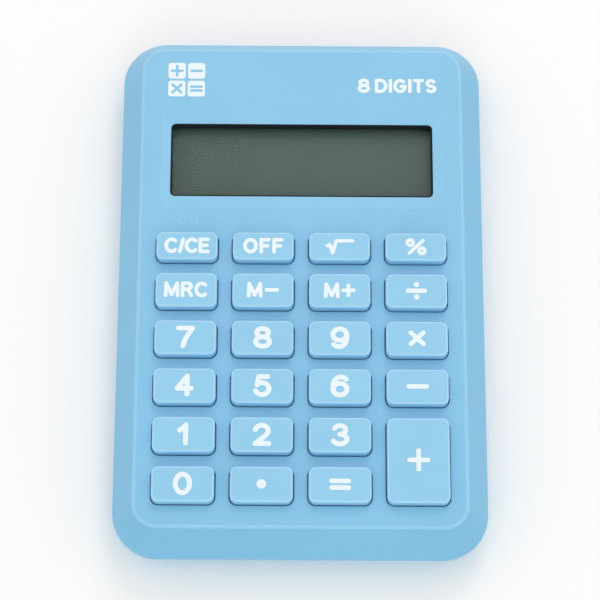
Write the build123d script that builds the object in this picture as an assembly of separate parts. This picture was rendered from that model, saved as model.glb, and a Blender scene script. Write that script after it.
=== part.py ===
"""Pocket calculator with a bevelled two-part case, 23 travelling keys and one AAA cell.

Millimetres. +Z is up through the keys and the underside lies at Z = 0. +Y runs from the
bottom row of keys to the display. X and Y are zero at the middle of the case.
"""
from build123d import *
import math
import os

# ---------------------------------------------------------------- keypad
key_columns = 4
key_rows = 6
key_width = 12.1
key_length = 7.1
first_row_length = 5.9          # the row next to the display is shorter
column_gap = 2.98               # between neighbouring keycaps
row_gap = 2.78                  # between neighbouring rows
key_corner_radius = 1.4
key_edge_radius = 0.45
key_height = 2.0                # top of a resting keycap above the case face
key_hole_clearance = 0.25
key_travel = 1.0
key_wall = 1.0
key_roof = 1.2
flange_width = 0.6              # keeps the keycap in the case
flange_thickness = 0.9
flange_gap = 0.1
stem_drop = 1.0                 # stem below the flange
stem_width = 3.6
stem_length = 2.6
tall_key_column = 3             # the plus key covers the last two rows of this column
tall_key_row = 4

# ---------------------------------------------------------------- case
front_wall = 1.6
side_wall = 1.6
floor_thickness = 1.3
side_margin = 3.53              # outer keycap to the ridge of the case
near_margin = 4.4
keypad_to_window = 8.5
bevel_run = 4.3                 # ridge to rim, seen from above
bevel_drop = 7.0                # ridge to rim, seen from the side
lip_height = 1.6                # upright band of the front case below the rim
case_corner_radius = 8.95
ridge_radius = 1.1
rim_radius = 0.7
rear_step = 0.3                 # the rear case stands back from the lip
rear_draft_run = 1.5
rear_edge_radius = 1.0
tongue_height = 1.1
tongue_thickness = 0.8
tongue_clearance = 0.1
tongue_root = 1.0               # tongue below the parting line
rim_wall_share = 0.5            # keeps the wall even round the rim
weld = 0.3                      # how far an added wall runs into what it stands on
cut_past = 1.0                  # how far a cutter runs past the face it opens

# ---------------------------------------------------------------- display
window_width = 52.7
window_length = 15.8
window_corner_radius = 1.0
window_recess = 2.0             # lens face below the case face
bezel_run_x = 1.9               # shallow slope around the window
bezel_run_near = 2.6
bezel_run_far = 3.1
bezel_drop = 0.3
bezel_corner_step = 1.0         # outer corners of the slope are this much rounder
lens_overlap = 1.65
lens_thickness = 1.0
lens_corner_radius = 1.5
gasket_thickness = 0.15         # between the lens and the window collar
gasket_lip = 0.25               # dark lining of the window wall
gasket_clearance = 0.03
lens_to_polarizer = 0.1
polarizer_thickness = 0.2
glass_thickness = 0.55
glass_overlap = 1.4             # glass beyond the window on three sides
polarizer_inset = 0.7
contact_ledge = 2.6             # front glass beyond the rear glass, over the zebra strip
zebra_width = 1.8
zebra_end_inset = 4.0
holder_clearance = 0.15
holder_wall = 0.85
holder_ledge = 1.2
holder_corner_radius = 1.2
display_side_room = 2.6

# ---------------------------------------------------------------- board and rubber
board_thickness = 1.2
board_edge_gap = 1.6
board_corner_radius = 3.0
pad_thickness = 0.05
pad_diameter = 4.6
pad_split = 0.5
pill_thickness = 0.4
pill_diameter = 3.4
dome_roof = 1.25
dome_gap = 0.05                 # keycap stem above its dome
dome_base_radius = 3.0
dome_top_radius = 2.2
dome_hollow_radius = 2.3
pill_ring_gap = 0.1             # round each pill at the top of its dome
rubber_web = 0.6
rubber_margin = 3.2             # sheet beyond the outer domes at the sides and the near end
rubber_far_margin = 0.5         # sheet beyond the last row of domes
rubber_corner_radius = 2.0
chip_diameter = 10.0
chip_height = 1.6
chip_round = 1.36               # edge radius of the potting
capacitor_diameter = 4.0
capacitor_length = 5.0
capacitor_gap = 5.5             # from the potting
resistor_size = (2.0, 1.25, 0.5)
resistor_gap = 4.0              # from the potting
resistor_pitch = 4.0

# ---------------------------------------------------------------- cell and door
cell_diameter = 10.5
cell_length = 44.5
nipple_diameter = 3.8
nipple_length = 0.8
cell_edge_radius = 0.6
cell_clearance = 0.15
cell_roof_gap = 0.45
bay_wall = 1.0
bay_gap = 0.4                   # between the display holder and the bay
bay_height_share = 0.55         # bay walls above the cell's axis, as a share of its radius
bay_end_lap = 0.5               # bay end walls beyond the far side of the bay
cell_to_ridge = 1.95
contact_thickness = 0.3
contact_width = 8.0
contact_low_gap = 0.4           # contact above the door ledge
tab_width = 3.0
tab_gap = 0.05                  # solder tab above the bay wall
spring_length = 3.3
spring_wire = 0.5
spring_coils = 3
spring_radius = 2.7
spring_gap = 0.03               # at each end of the spring
bay_end_wall = 1.2
door_thickness = 1.1
door_gap = 0.15
door_travel = 3.2
door_side_lap = 1.5             # door beyond the ledge opening
door_near_lap = 0.5             # door beyond the near wall of the bay
door_grooves = 5                # thumb grip in the underside
groove_pitch = 1.6
groove_width = 0.8
groove_length = 12.0
groove_depth = 0.35
ledge_thickness = 1.0
ledge_gap = 0.1
ledge_margin = 1.0              # ledge beyond the door
hook_length = 2.6
hook_inset = 0.4                # first hook from the near side of the bay
hook_free_gap = 0.7             # between a hook's way out and the next hook
hook_leg = 0.9
hook_reach = 1.1
hook_thickness = 0.85
hook_clearance = 0.15
hook_notch_clearance = 0.3      # along the way out of a hook
hook_reach_gap = 0.1
lead_diameter = 1.0
lead_bend_radius = 1.5
lead_end_radius = 0.72
lead_drop = 1.2                 # lead below the board
lead_gap = 0.5                  # between a lead and the bay end wall
lead_landing = 3.0              # solder point from the far edge of the board
rib_thickness = 1.0
rib_inset = 4.0                 # ribs from the sides of the board
rib_gap = 0.1                   # ribs below the board

# ---------------------------------------------------------------- fasteners
near_screw_step = 0.5           # near case screws from the first row of keys
middle_screw_step = 1.0         # middle case screws from the last row of keys
far_screw_step = 1.0            # far case screws from the axis of the cell
case_screw_diameter = 2.0
case_screw_bite = 4.2           # thread inside the front boss
case_screw_head_diameter = 3.6
case_screw_head_height = 1.3
case_screw_recess = 2.3         # seat of the head above the underside
case_pilot_diameter = 1.7
case_boss_diameter = 4.6
head_pocket_clearance = 0.15
shank_clearance = 0.15
boss_gap = 0.1
board_notch_clearance = 0.5
board_screw_diameter = 1.6
board_screw_bite = 2.6
board_screw_head_diameter = 3.0
board_screw_head_height = 0.9
board_pilot_diameter = 1.3
board_post_diameter = 3.2
boss_to_key = 0.15              # bosses stand clear of the outer keycap flanges
recess_cross = (1.9, 0.45, 0.6)  # length, width and depth of a cross recess
pilot_spare = 0.5               # pilot hole beyond the screw tip
head_round_share = 0.45         # edge radius of a head, as a share of its height
point_length_share = 0.4        # screw point, as shares of the thread diameter
point_tip_share = 0.2

# ---------------------------------------------------------------- worked out: plan
column_pitch = key_width + column_gap
row_pitch = key_length + row_gap
keypad_width = key_columns * key_width + (key_columns - 1) * column_gap
glass_width = window_width + 2 * glass_overlap
holder_width = glass_width + 2 * (holder_clearance + holder_wall)
ridge_width = max(keypad_width + 2 * side_margin, holder_width + 2 * display_side_room)
case_width = ridge_width + 2 * bevel_run

cell_radius = cell_diameter / 2
display_to_cell = (glass_overlap + holder_clearance + holder_wall
                   + bay_gap + bay_wall + cell_clearance + cell_radius)
keypad_length = (key_rows - 1) * row_pitch + first_row_length
ridge_length = (near_margin + keypad_length + keypad_to_window + window_length
                + display_to_cell + cell_radius + cell_to_ridge)
case_length = ridge_length + 2 * bevel_run

keypad_near = -ridge_length / 2 + near_margin
window_near = keypad_near + keypad_length + keypad_to_window
window_far = window_near + window_length
window_y = (window_near + window_far) / 2
glass_far = window_far + glass_overlap
glass_near = window_near - glass_overlap
ledge_near = glass_near - contact_ledge
holder_near = ledge_near - holder_clearance - holder_wall
holder_far = glass_far + holder_clearance + holder_wall
holder_length = holder_far - holder_near
holder_y = (holder_near + holder_far) / 2
cell_y = window_far + display_to_cell
bay_near = cell_y - cell_radius - cell_clearance
bay_far = cell_y + cell_radius + cell_clearance

# ---------------------------------------------------------------- worked out: heights
door_top = door_thickness
ledge_low = door_top + ledge_gap
ledge_high = ledge_low + ledge_thickness
cell_z = door_top + 2 * ledge_gap + cell_clearance + cell_radius
case_height = cell_z + cell_radius + cell_roof_gap + front_wall
rim_z = case_height - bevel_drop
parting_z = rim_z - lip_height
roof_z = case_height - front_wall
flange_top = roof_z - flange_gap
flange_low = flange_top - flange_thickness
stem_low = flange_low - stem_drop
key_top = case_height + key_height
dome_top = stem_low - dome_gap
dome_ceiling = dome_top - dome_roof
board_top = dome_ceiling - pill_thickness - key_travel - pad_thickness
board_low = board_top - board_thickness
lens_top = case_height - window_recess
lens_low = lens_top - lens_thickness
polarizer_top = lens_low - lens_to_polarizer
front_glass_top = polarizer_top - polarizer_thickness
rear_glass_top = front_glass_top - glass_thickness
reflector_top = rear_glass_top - glass_thickness
reflector_low = reflector_top - polarizer_thickness

bevel_slope = bevel_run / bevel_drop
inner_rim_z = rim_z - rim_wall_share * side_wall * bevel_slope
inner_width = case_width - 2 * side_wall
inner_length = case_length - 2 * side_wall
inner_corner_radius = case_corner_radius - side_wall
inner_roof_run = (roof_z - inner_rim_z) * bevel_slope

flange_edge_x = keypad_width / 2 + flange_width
boss_split_z = parting_z + tongue_height
boss_x = max(flange_edge_x, holder_width / 2) + boss_to_key + case_boss_diameter / 2
post_x = max(flange_edge_x, holder_width / 2) + boss_to_key + board_post_diameter / 2
board_inset = tongue_clearance + tongue_thickness + board_edge_gap
board_width = inner_width - 2 * board_inset
board_near = -inner_length / 2 + board_inset
board_far = holder_far
row_lines = [keypad_near + row * row_pitch for row in range(key_rows)]
case_screw_places = [
    (side * boss_x, y)
    for side in (-1, 1)
    for y in (row_lines[0] - near_screw_step, row_lines[-1] + first_row_length + middle_screw_step,
              cell_y + far_screw_step)
]
board_screw_places = [
    (side * post_x, y)
    for side in (-1, 1)
    for y in (row_lines[1] + key_length, row_lines[3] + key_length, window_y)
]
bay_half_length = (cell_length + spring_length + 2 * contact_thickness) / 2
bay_outer_x = bay_half_length + bay_end_wall
hook_leg_x = bay_outer_x + hook_clearance + hook_leg / 2
opening_half_width = bay_outer_x + 2 * hook_clearance + hook_leg
door_half_width = opening_half_width + door_side_lap
door_near = bay_near - bay_wall - door_near_lap
hook_lines = [
    bay_near + hook_inset + number * (hook_length + door_travel + hook_free_gap)
    for number in (0, 1)
]
lead_x = bay_outer_x + lead_diameter / 2 + lead_gap
bay_top = cell_z + cell_radius * bay_height_share
case_screw_tip = boss_split_z + case_screw_bite


# ---------------------------------------------------------------- helpers
def slab(width, length, radius, low, high, x=0.0, y=0.0):
    """Upright block with rounded corners, centred on x and y."""
    outline = Pos(x, y, low) * RectangleRounded(width, length, radius)
    return extrude(outline, amount=high - low)


def block(x_range, y_range, z_range):
    """Plain box between its low and high corners."""
    size = [high - low for low, high in (x_range, y_range, z_range)]
    middle = [(high + low) / 2 for low, high in (x_range, y_range, z_range)]
    return Pos(*middle) * Box(*size)


def rod(radius, low, high, x=0.0, y=0.0):
    """Upright cylinder between two heights."""
    return Pos(x, y, (low + high) / 2) * Cylinder(radius, high - low)


def frustum(low_radius, high_radius, low, high, x=0.0, y=0.0):
    """Upright cone between two heights."""
    return Pos(x, y, (low + high) / 2) * Cone(low_radius, high_radius, high - low)


def tapered(width, length, radius, low, high, run):
    """Rounded block whose sides lean in by run from its low to its high end."""
    low_outline = Pos(0, 0, low) * RectangleRounded(width, length, radius)
    high_outline = Pos(0, 0, high) * RectangleRounded(
        width - 2 * run, length - 2 * run, radius - run
    )
    return loft([low_outline, high_outline], ruled=True)


def level_edges(solid, z):
    """All edges that lie flat at one height."""
    return solid.edges().filter_by(
        lambda edge: abs(edge.bounding_box().min.Z - z) < 1e-4
        and abs(edge.bounding_box().max.Z - z) < 1e-4
    )


def group(solids):
    """Separate solids kept together in one node."""
    return Compound(children=list(solids))


def cross_recess(x, y, low, turn):
    """Cutter for the cross in a screw head that faces down."""
    length, width, depth = recess_cross
    bars = Box(length, width, depth) + Box(width, length, depth)
    return Pos(x, y, low + depth / 2) * Rot(0, 0, turn) * bars


def screw(x, y, seat, tip, diameter, head_diameter, head_height, turn):
    """Pan-head screw that points up, with the underside of its head at seat."""
    head = rod(head_diameter / 2, seat - head_height, seat, x, y)
    head = fillet(level_edges(head, seat - head_height), head_height * head_round_share)
    head -= cross_recess(x, y, seat - head_height, turn)
    point = diameter * point_length_share
    shank = rod(diameter / 2, seat, tip - point, x, y)
    shank += frustum(diameter / 2, diameter * point_tip_share, tip - point, tip, x, y)
    return head + shank


# ---------------------------------------------------------------- keys
def key_layout():
    """Name, centre and length of every keycap, from the bottom row up."""
    names = [
        ["key_0", "key_point", "key_equals", None],
        ["key_1", "key_2", "key_3", "key_plus"],
        ["key_4", "key_5", "key_6", "key_minus"],
        ["key_7", "key_8", "key_9", "key_times"],
        ["key_memory_recall", "key_memory_minus", "key_memory_plus", "key_divide"],
        ["key_clear", "key_off", "key_root", "key_percent"],
    ]
    keys = {}
    for row, row_names in enumerate(names):
        for column, name in enumerate(row_names):
            if name is None:
                continue
            x = (column - (key_columns - 1) / 2) * column_pitch
            near = row_lines[row]
            length = first_row_length if row == key_rows - 1 else key_length
            if column == tall_key_column and row == key_rows - 1 - tall_key_row:
                near = row_lines[row - 1]
                length = key_length + row_pitch
            keys[name] = (x, near + length / 2, length)
    return keys


def keycap(x, y, length):
    """Hollow keycap with a holding flange and a stem that meets its rubber dome."""
    cap = slab(key_width, length, key_corner_radius, flange_low, key_top, x, y)
    cap = fillet(level_edges(cap, key_top), key_edge_radius)
    cap += slab(
        key_width + 2 * flange_width, length + 2 * flange_width,
        key_corner_radius + flange_width, flange_low, flange_top, x, y,
    )
    cap -= slab(
        key_width - 2 * key_wall, length - 2 * key_wall,
        key_corner_radius - key_wall, flange_low, key_top - key_roof, x, y,
    )
    stem = block(
        (x - stem_width / 2, x + stem_width / 2),
        (y - stem_length / 2, y + stem_length / 2),
        (stem_low, key_top - key_roof),
    )
    return cap + stem


# ---------------------------------------------------------------- rubber and board
def dome_sheet(keys):
    """Silicone sheet with one collapsing dome under each key."""
    near = row_lines[0] + key_length / 2 - dome_base_radius - rubber_margin
    far = row_lines[-1] + first_row_length / 2 + dome_base_radius + rubber_far_margin
    width = (key_columns - 1) * column_pitch + 2 * (dome_base_radius + rubber_margin)
    sheet = slab(width, far - near, rubber_corner_radius, board_top, board_top + rubber_web,
                 0, (near + far) / 2)
    for x, y, _ in keys.values():
        sheet += frustum(dome_base_radius, dome_top_radius,
                         board_top + rubber_web, dome_top, x, y)
    for x, y, _ in keys.values():
        sheet -= rod(dome_hollow_radius, board_top, board_top + rubber_web, x, y)
        sheet -= frustum(dome_hollow_radius, pill_diameter / 2 + pill_ring_gap,
                         board_top + rubber_web, dome_ceiling, x, y)
    return sheet


def carbon_pills(keys):
    """Conductive discs bonded under the dome roofs."""
    low = dome_ceiling - pill_thickness
    return group(rod(pill_diameter / 2, low, dome_ceiling, x, y) for x, y, _ in keys.values())


def contact_pads(keys):
    """Two half-round carbon pads on the board under each key."""
    pads = []
    for x, y, _ in keys.values():
        disc = rod(pad_diameter / 2, board_top, board_top + pad_thickness, x, y)
        disc -= block((x - pad_split / 2, x + pad_split / 2),
                      (y - pad_diameter, y + pad_diameter),
                      (board_top - cut_past, board_top + cut_past))
        pads.extend(disc.solids())
    return group(pads)


def circuit_board():
    """Board with edge notches for the case bosses and holes for its own screws."""
    board = slab(board_width, board_far - board_near, board_corner_radius,
                 board_low, board_top, 0, (board_far + board_near) / 2)
    notch = case_boss_diameter / 2 + board_notch_clearance
    for x, y in case_screw_places:
        edge = math.copysign(board_width, x)
        board -= rod(notch, board_low - cut_past, board_top + cut_past, x, y)
        board -= block(sorted((x, edge)), (y - notch, y + notch),
                       (board_low - cut_past, board_top + cut_past))
    for x, y in board_screw_places:
        board -= rod(board_screw_diameter / 2 + shank_clearance,
                     board_low - cut_past, board_top + cut_past, x, y)
    return board


def glob_top_chip():
    """Potted calculator chip under the display."""
    radius = chip_diameter / 2
    blob = rod(radius, board_low - chip_height, board_low, 0, window_y)
    return fillet(level_edges(blob, board_low - chip_height), chip_round)


def capacitor():
    """Small round electrolytic capacitor lying under the board."""
    radius = capacitor_diameter / 2
    x = chip_diameter / 2 + capacitor_gap + capacitor_length / 2
    can = Rot(0, 90, 0) * Cylinder(radius, capacitor_length)
    return Pos(x, window_y, board_low - radius) * can


def resistors():
    """Two chip resistors beside the potted chip."""
    length, width, height = resistor_size
    x = -chip_diameter / 2 - resistor_gap - length / 2
    return group(
        Pos(x, window_y + side * resistor_pitch / 2, board_low - height / 2)
        * Box(length, width, height)
        for side in (-1, 1)
    )


# ---------------------------------------------------------------- display
def display_lens():
    """Clear window glued under the case face."""
    return slab(window_width + 2 * lens_overlap, window_length + 2 * lens_overlap,
                lens_corner_radius, lens_low, lens_top, 0, window_y)


def lens_gasket():
    """Foam ring between the lens and the collar, with a lip that lines the window wall."""
    ring = slab(window_width + 2 * lens_overlap, window_length + 2 * lens_overlap,
                lens_corner_radius, lens_top, lens_top + gasket_thickness, 0, window_y)
    lip_width = window_width - 2 * gasket_clearance
    lip_length = window_length - 2 * gasket_clearance
    lip_top = case_height - bezel_drop - gasket_clearance
    ring += slab(lip_width, lip_length, window_corner_radius, lens_top, lip_top, 0, window_y)
    return ring - slab(lip_width - 2 * gasket_lip, lip_length - 2 * gasket_lip,
                       window_corner_radius - gasket_lip,
                       lens_top - cut_past, case_height, 0, window_y)


def film(low):
    """Polarizing film cut a little smaller than the glass."""
    half = glass_width / 2 - polarizer_inset
    return block((-half, half), (glass_near + polarizer_inset, glass_far - polarizer_inset),
                 (low, low + polarizer_thickness))


def glass(near, top):
    """Thin glass plate of the liquid crystal cell."""
    return block((-glass_width / 2, glass_width / 2), (near, glass_far),
                 (top - glass_thickness, top))


def zebra_strip():
    """Layered elastomer strip that joins the glass to the board."""
    half = glass_width / 2 - zebra_end_inset
    middle = (ledge_near + glass_near) / 2
    return block((-half, half), (middle - zebra_width / 2, middle + zebra_width / 2),
                 (board_top, rear_glass_top))


def lcd_holder():
    """Frame that seats the glass stack on the board."""
    frame = slab(holder_width, holder_length, holder_corner_radius, board_top, polarizer_top,
                 0, holder_y)
    well_x = glass_width / 2 + holder_clearance
    frame -= block((-well_x, well_x),
                   (ledge_near - holder_clearance, glass_far + holder_clearance),
                   (reflector_low, polarizer_top + cut_past))
    light_x = well_x - holder_ledge
    frame -= block((-light_x, light_x),
                   (glass_near + holder_ledge, glass_far - holder_ledge),
                   (board_top - cut_past, polarizer_top))
    slot_x = glass_width / 2 - zebra_end_inset + holder_clearance
    middle = (ledge_near + glass_near) / 2
    half = zebra_width / 2 + holder_clearance
    frame -= block((-slot_x, slot_x), (middle - half, middle + half),
                   (board_top - cut_past, polarizer_top))
    return frame


# ---------------------------------------------------------------- power
def aaa_cell():
    """Round cell lying across the case, nipple towards +X."""
    tip = bay_half_length - contact_thickness
    shoulder = tip - nipple_length
    tail = tip - cell_length
    turned = Rot(0, 90, 0)
    can = turned * Cylinder(cell_radius, shoulder - tail)
    can = fillet(can.edges().filter_by(GeomType.CIRCLE), cell_edge_radius)
    can = Pos((shoulder + tail) / 2, cell_y, cell_z) * can
    nipple = Pos((tip + shoulder) / 2, cell_y, cell_z) * turned * Cylinder(
        nipple_diameter / 2, nipple_length
    )
    return can + nipple


def contact_plate(side):
    """Sheet contact against a bay end wall, with a solder tab over the wall."""
    inner, outer = sorted((side * (bay_half_length - contact_thickness),
                           side * bay_half_length))
    low = ledge_high + contact_low_gap
    tab_low = bay_top + tab_gap
    tab_high = tab_low + contact_thickness
    plate = block((inner, outer), (cell_y - contact_width / 2, cell_y + contact_width / 2),
                  (low, tab_high))
    tab_end = side * (lead_x + lead_diameter / 2)
    tab_start = side * (bay_half_length - contact_thickness)
    plate += block(sorted((tab_start, tab_end)), (cell_y - tab_width / 2, cell_y + tab_width / 2),
                   (tab_low, tab_high))
    return plate


def negative_spring():
    """Coil spring between the negative contact and the flat end of the cell."""
    height = spring_length - spring_wire - 2 * spring_gap
    path = Helix(pitch=height / spring_coils, height=height, radius=spring_radius)
    wire = Plane(origin=path @ 0, z_dir=path % 0) * Circle(spring_wire / 2)
    coil = sweep(wire, path=path, is_frenet=True)
    start = -bay_half_length + contact_thickness + spring_gap + spring_wire / 2
    return Pos(start, cell_y, cell_z) * Rot(0, 90, 0) * coil


def lead(side):
    """Insulated lead from a contact tab down and along to the board."""
    x = side * lead_x
    low = board_low - lead_drop
    points = [
        (x, cell_y, bay_top),
        (x, cell_y, low),
        (x, board_far - lead_landing, low),
        (x, board_far - lead_landing, board_low),
    ]
    path = FilletPolyline(*points, radius=[lead_bend_radius, lead_end_radius])
    section = Plane(origin=path @ 0, z_dir=path % 0) * Circle(lead_diameter / 2)
    return sweep(section, path=path)


# ---------------------------------------------------------------- case
def front_case(keys):
    """Bevelled front shell with key holes, window, bosses and board posts."""
    shell = slab(case_width, case_length, case_corner_radius, parting_z, rim_z)
    shell += tapered(case_width, case_length, case_corner_radius, rim_z, case_height, bevel_run)
    shell = fillet(level_edges(shell, case_height), ridge_radius)
    shell = fillet(level_edges(shell, rim_z), rim_radius)
    cavity = slab(inner_width, inner_length, inner_corner_radius,
                  parting_z - cut_past, inner_rim_z)
    cavity += tapered(inner_width, inner_length, inner_corner_radius,
                      inner_rim_z, roof_z, inner_roof_run)
    shell -= cavity

    bosses = [rod(case_boss_diameter / 2, boss_split_z + boss_gap, case_height, x, y)
              for x, y in case_screw_places]
    bosses += [rod(board_post_diameter / 2, board_top, case_height, x, y)
               for x, y in board_screw_places]
    for boss in bosses:
        shell += boss & cavity
    shell += slab(window_width + 2 * lens_overlap, window_length + 2 * lens_overlap,
                  lens_corner_radius, lens_top + gasket_thickness, roof_z, 0, window_y)

    for x, y, length in keys.values():
        shell -= slab(key_width + 2 * key_hole_clearance, length + 2 * key_hole_clearance,
                      key_corner_radius + key_hole_clearance,
                      roof_z - cut_past, case_height + cut_past, x, y)
    shell -= slab(window_width, window_length, window_corner_radius,
                  lens_top - cut_past, case_height + cut_past, 0, window_y)
    shell -= bezel_cutter()
    for x, y in case_screw_places:
        shell -= rod(case_pilot_diameter / 2, parting_z, case_screw_tip + pilot_spare, x, y)
    for x, y in board_screw_places:
        shell -= rod(board_pilot_diameter / 2, board_top,
                     board_top + board_screw_bite + pilot_spare, x, y)
    return shell


def bezel_cutter():
    """Shallow slope that falls from the case face to the edge of the window."""
    width = window_width + 2 * bezel_run_x
    length = window_length + bezel_run_near + bezel_run_far
    y = window_y + (bezel_run_far - bezel_run_near) / 2
    top = Pos(0, y, case_height) * RectangleRounded(
        width, length, window_corner_radius + bezel_corner_step
    )
    low = Pos(0, window_y, case_height - bezel_drop) * RectangleRounded(
        window_width, window_length, window_corner_radius
    )
    return loft([low, top], ruled=True)


def rear_outline():
    """Outer form of the rear case, closed and solid."""
    width = case_width - 2 * rear_step
    length = case_length - 2 * rear_step
    radius = case_corner_radius - rear_step
    low = Pos(0, 0, 0) * RectangleRounded(
        width - 2 * rear_draft_run, length - 2 * rear_draft_run, radius - rear_draft_run
    )
    high = Pos(0, 0, parting_z) * RectangleRounded(width, length, radius)
    form = loft([low, high], ruled=True)
    return fillet(level_edges(form, 0), rear_edge_radius)


def rear_case():
    """Rear shell with the cell bay, door seat, screw bosses and board ribs."""
    form = rear_outline()
    floor_inset = rear_step + side_wall + rear_draft_run * (1 - floor_thickness / parting_z)
    brim_inset = rear_step + side_wall
    low, high = [
        Pos(0, 0, z) * RectangleRounded(case_width - 2 * inset, case_length - 2 * inset,
                                        case_corner_radius - inset)
        for z, inset in ((floor_thickness, floor_inset), (parting_z, brim_inset))
    ]
    shell = form - loft([low, high], ruled=True)

    ring_width = inner_width - 2 * tongue_clearance
    ring_length = inner_length - 2 * tongue_clearance
    ring_radius = inner_corner_radius - tongue_clearance
    ring = slab(ring_width, ring_length, ring_radius, parting_z - tongue_root,
                parting_z + tongue_height)
    ring -= slab(ring_width - 2 * tongue_thickness, ring_length - 2 * tongue_thickness,
                 ring_radius - tongue_thickness,
                 parting_z - tongue_root - cut_past, parting_z + tongue_height + cut_past)
    shell += ring

    ledge = block((-door_half_width - ledge_margin, door_half_width + ledge_margin),
                  (door_near - ledge_margin, case_length / 2 - brim_inset),
                  (floor_thickness - weld, ledge_high))
    shell += ledge & form
    shell += bay_walls()
    shell += board_ribs()
    for x, y in case_screw_places:
        shell += rod(case_boss_diameter / 2, floor_thickness - weld, boss_split_z, x, y)

    shell -= door_seat()
    end_walls = bay_end_blocks(-cut_past, ledge_high + cut_past)
    shell -= block((-opening_half_width, opening_half_width), (bay_near, bay_far),
                   (-cut_past, ledge_high)) - end_walls
    reach = opening_half_width + hook_reach + hook_reach_gap
    for y in hook_lines:
        notch_near = y + door_travel - hook_notch_clearance
        notch_far = y + door_travel + hook_length + hook_notch_clearance
        shell -= block((-reach, reach), (notch_near, notch_far),
                       (-cut_past, ledge_high)) - end_walls
    for x, y in case_screw_places:
        pocket = case_screw_head_diameter / 2 + head_pocket_clearance
        shell -= rod(pocket, -cut_past, case_screw_recess, x, y)
        shell -= rod(case_screw_diameter / 2 + shank_clearance, 0, boss_split_z + cut_past, x, y)
    return shell


def bay_end_blocks(low, high):
    """The two end walls of the cell bay over a range of heights."""
    walls = [
        block(sorted((side * bay_half_length, side * bay_outer_x)),
              (bay_near - bay_wall, bay_far + bay_end_lap), (low, high))
        for side in (-1, 1)
    ]
    return walls[0] + walls[1]


def bay_walls():
    """Near wall and end walls of the cell bay."""
    near = block((-bay_outer_x, bay_outer_x), (bay_near - bay_wall, bay_near),
                 (ledge_low, bay_top))
    ends = bay_end_blocks(ledge_low, bay_top)
    return near + ends


def door_seat():
    """Recess in the underside that takes the door, open at the far end."""
    return block((-door_half_width - door_gap, door_half_width + door_gap),
                 (door_near - door_gap, case_length), (-cut_past, ledge_low))


def board_ribs():
    """Cross ribs and a spine on the floor that hold the board up against key presses."""
    half_width = board_width / 2 - rib_inset
    half = rib_thickness / 2
    heights = (floor_thickness - weld, board_low - rib_gap)
    lines = [row_lines[row] + key_length + row_gap / 2 for row in (0, 2, 4)]
    ribs = block((-half, half), (lines[0], lines[-1]), heights)
    for y in lines:
        ribs += block((-half_width, half_width), (y - half, y + half), heights)
    return ribs


def battery_door():
    """Sliding door with four hooks and a thumb grip."""
    strip = block((-door_half_width, door_half_width), (door_near, case_length),
                  (-cut_past, door_thickness))
    door = rear_outline() & strip
    leg_inner = hook_leg_x - hook_leg / 2
    leg_outer = hook_leg_x + hook_leg / 2
    toe_low = ledge_high + ledge_gap
    toe_high = toe_low + hook_thickness
    for y in hook_lines:
        for side in (-1, 1):
            leg = sorted((side * leg_inner, side * leg_outer))
            toe = sorted((side * leg_inner, side * (leg_outer + hook_reach)))
            door += block(leg, (y, y + hook_length), (door_thickness - weld, toe_high))
            door += block(toe, (y, y + hook_length), (toe_low, toe_high))
    for step in range(door_grooves):
        y = cell_y + (step - (door_grooves - 1) / 2) * groove_pitch
        door -= block((-groove_length / 2, groove_length / 2),
                      (y - groove_width / 2, y + groove_width / 2), (-cut_past, groove_depth))
    return door


def case_screws():
    """Screws that close the case from the underside."""
    return group(
        screw(x, y, case_screw_recess, case_screw_tip, case_screw_diameter,
              case_screw_head_diameter, case_screw_head_height, 20.0 * number)
        for number, (x, y) in enumerate(case_screw_places)
    )


def board_screws():
    """Screws that hold the board to the front case posts."""
    return group(
        screw(x, y, board_low, board_top + board_screw_bite, board_screw_diameter,
              board_screw_head_diameter, board_screw_head_height, 35.0 * number)
        for number, (x, y) in enumerate(board_screw_places)
    )


# ---------------------------------------------------------------- build and write
def build():
    """Every node of the calculator by name."""
    keys = key_layout()
    nodes = {
        "front_case": front_case(keys),
        "rear_case": rear_case(),
        "battery_door": battery_door(),
        "display_lens": display_lens(),
        "lens_gasket": lens_gasket(),
        "front_polarizer": film(front_glass_top),
        "front_glass": glass(ledge_near, front_glass_top),
        "rear_glass": glass(glass_near, rear_glass_top),
        "rear_reflector": film(reflector_low),
        "lcd_holder": lcd_holder(),
        "zebra_strip": zebra_strip(),
        "dome_sheet": dome_sheet(keys),
        "carbon_pills": carbon_pills(keys),
        "contact_pads": contact_pads(keys),
        "circuit_board": circuit_board(),
        "glob_top_chip": glob_top_chip(),
        "capacitor": capacitor(),
        "resistors": resistors(),
        "aaa_cell": aaa_cell(),
        "positive_contact": contact_plate(1),
        "negative_contact": contact_plate(-1),
        "negative_spring": negative_spring(),
        "positive_lead": lead(1),
        "negative_lead": lead(-1),
        "case_screws": case_screws(),
        "board_screws": board_screws(),
    }
    for name, (x, y, length) in keys.items():
        nodes[name] = keycap(x, y, length)
    return nodes


os.makedirs("parts", exist_ok=True)
for node, shape in build().items():
    export_step(shape, f"parts/{node}.step")
print(f"case {case_width:.2f} x {case_length:.2f} x {case_height:.2f} mm")
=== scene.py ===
"""Looks for the pocket calculator: legends, rubber domes, materials, light and camera.

Lengths are in metres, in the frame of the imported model. MM turns millimetres into metres.
"""

import math

import bmesh
import bpy
import numpy as np
from mathutils import Matrix, Vector


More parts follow.
